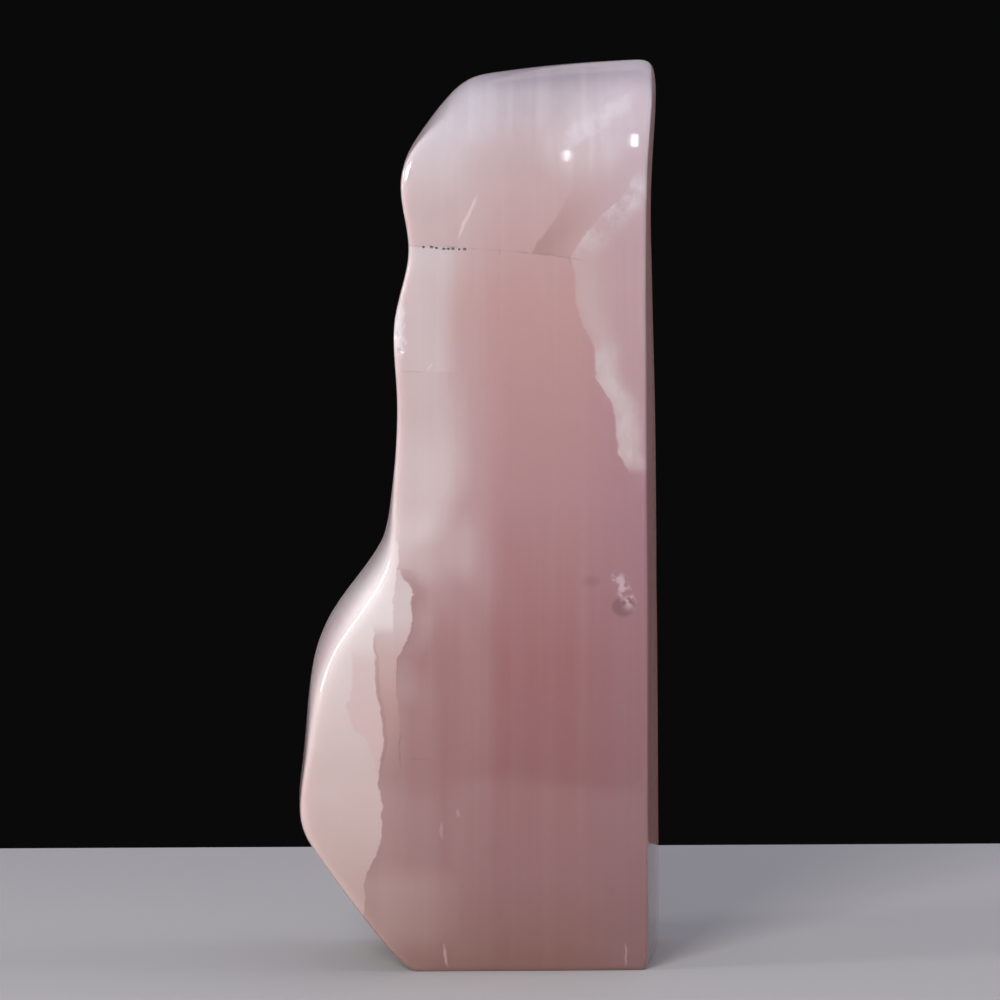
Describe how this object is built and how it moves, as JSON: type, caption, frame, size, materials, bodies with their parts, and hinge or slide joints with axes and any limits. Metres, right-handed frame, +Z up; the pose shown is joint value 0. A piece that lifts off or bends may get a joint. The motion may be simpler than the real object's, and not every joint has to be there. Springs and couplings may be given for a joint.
{
  "type": "manganoan calcite specimen",
  "caption": "Freestanding polished freeform tower of translucent pink calcite, with a slanted shoulder, a rounded crown and a flat saw-cut foot.",
  "frame": {"origin": "middle of the outline seen from above, on the plane of the flat foot", "axes": "+Z up along the tower, -Y out of its broad front face, +X to the right as seen from the front"},
  "size_m": [0.0809, 0.0518, 0.2007],
  "materials": {
    "calcite": "polished, soft gloss, slightly translucent"
  },
  "bodies": {
    "root": {"calcite_tower": "calcite"}
  },
  "joints": []
}
